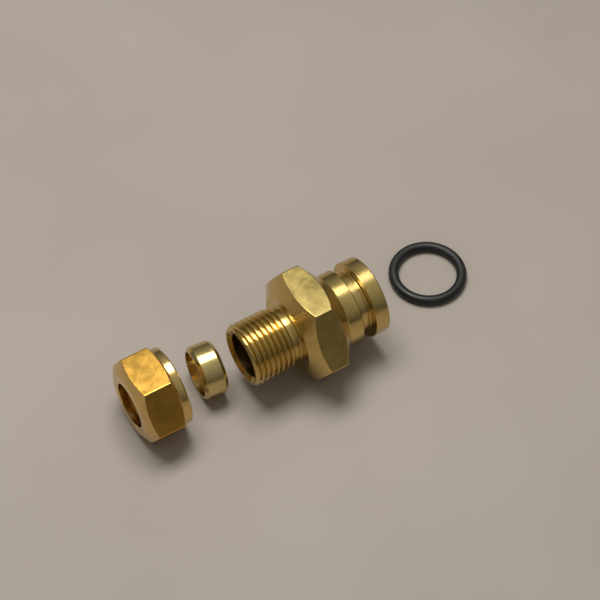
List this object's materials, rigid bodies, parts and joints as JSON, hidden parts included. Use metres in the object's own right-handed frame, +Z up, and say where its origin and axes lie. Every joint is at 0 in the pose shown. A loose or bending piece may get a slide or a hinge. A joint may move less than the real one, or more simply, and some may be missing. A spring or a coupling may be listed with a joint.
{
  "type": "compression coupling",
  "caption": "Straight brass pipe coupling taken apart: threaded body with a hexagon and a grooved sealing end, compression nut, olive and rubber sealing ring.",
  "frame": {"origin": "centre of the layout's bounding box, on the surface that the pieces lie on", "axes": "+X along the body's axis from the thread to the sealing end, the pipe comes in from -X; +Z up"},
  "size_m": [0.1266, 0.0404, 0.035],
  "materials": {
    "body_brass": "turned, bright",
    "nut_brass": "polished flats, turned ends",
    "olive_brass": "turned, bright",
    "ring_rubber": "smooth, slightly shiny"
  },
  "bodies": {
    "root": {"body": "body_brass", "compression_nut": "nut_brass", "olive": "olive_brass", "sealing_ring": "ring_rubber"}
  },
  "joints": []
}
